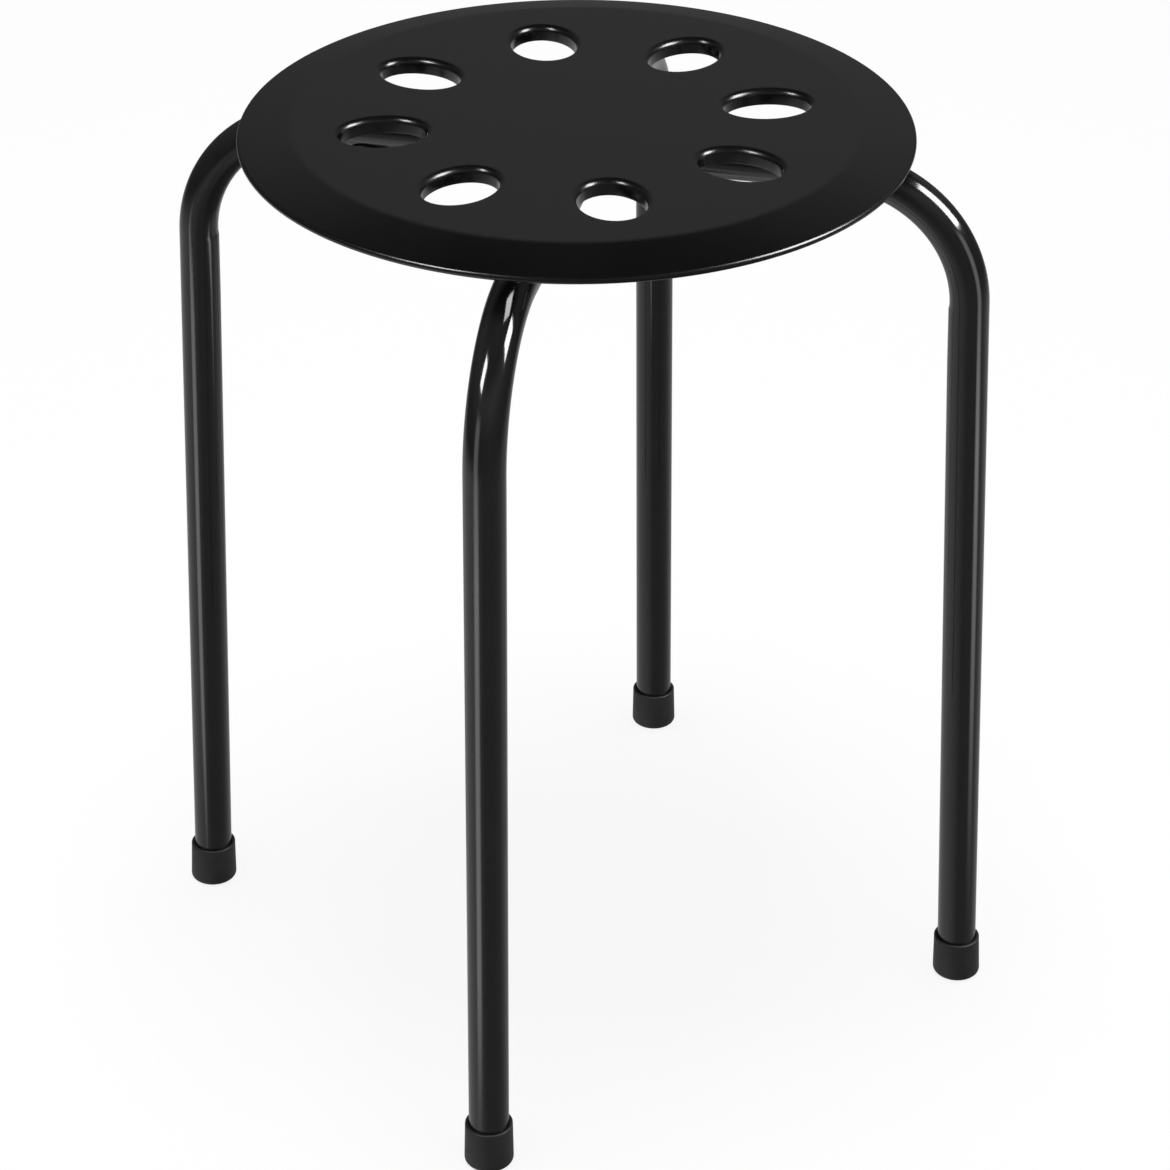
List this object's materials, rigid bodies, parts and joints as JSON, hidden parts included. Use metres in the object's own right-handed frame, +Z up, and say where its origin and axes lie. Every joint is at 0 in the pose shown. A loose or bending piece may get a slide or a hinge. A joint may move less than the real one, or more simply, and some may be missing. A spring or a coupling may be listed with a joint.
{
  "type": "stacking stool",
  "caption": "Backless stacking stool: round pressed-steel seat with a ring of oval holes on two crossing U-shaped tube leg frames with rubber feet.",
  "frame": {"origin": "on the floor, under the middle of the seat", "axes": "+Z up, +X along the upper leg frame towards the foot named right, +Y along the lower leg frame towards the foot named back"},
  "size_m": [0.4148, 0.4148, 0.45],
  "materials": {
    "seat_coat": "satin black powder coat, faint fine texture",
    "tube_coat": "gloss black powder coat",
    "cap_rubber": "matte black moulded rubber",
    "black_plastic": "satin black moulded plastic",
    "zinc_steel": "bright zinc plate"
  },
  "bodies": {
    "root": {"seat_pan": "seat_coat", "upper_leg_frame": "tube_coat", "lower_leg_frame": "tube_coat", "foot_cap_right": "cap_rubber", "foot_cap_left": "cap_rubber", "foot_cap_back": "cap_rubber", "foot_cap_front": "cap_rubber", "seat_spacer_right": "black_plastic", "seat_spacer_left": "black_plastic", "seat_spacer_back": "black_plastic", "seat_spacer_front": "black_plastic", "stacking_bumper_right": "black_plastic", "stacking_bumper_left": "black_plastic", "stacking_bumper_back": "black_plastic", "stacking_bumper_front": "black_plastic", "seat_stud_right": "zinc_steel", "seat_stud_left": "zinc_steel", "seat_stud_back": "zinc_steel", "seat_stud_front": "zinc_steel", "frame_nut_right": "zinc_steel", "frame_nut_left": "zinc_steel", "frame_nut_back": "zinc_steel", "frame_nut_front": "zinc_steel"}
  },
  "joints": []
}
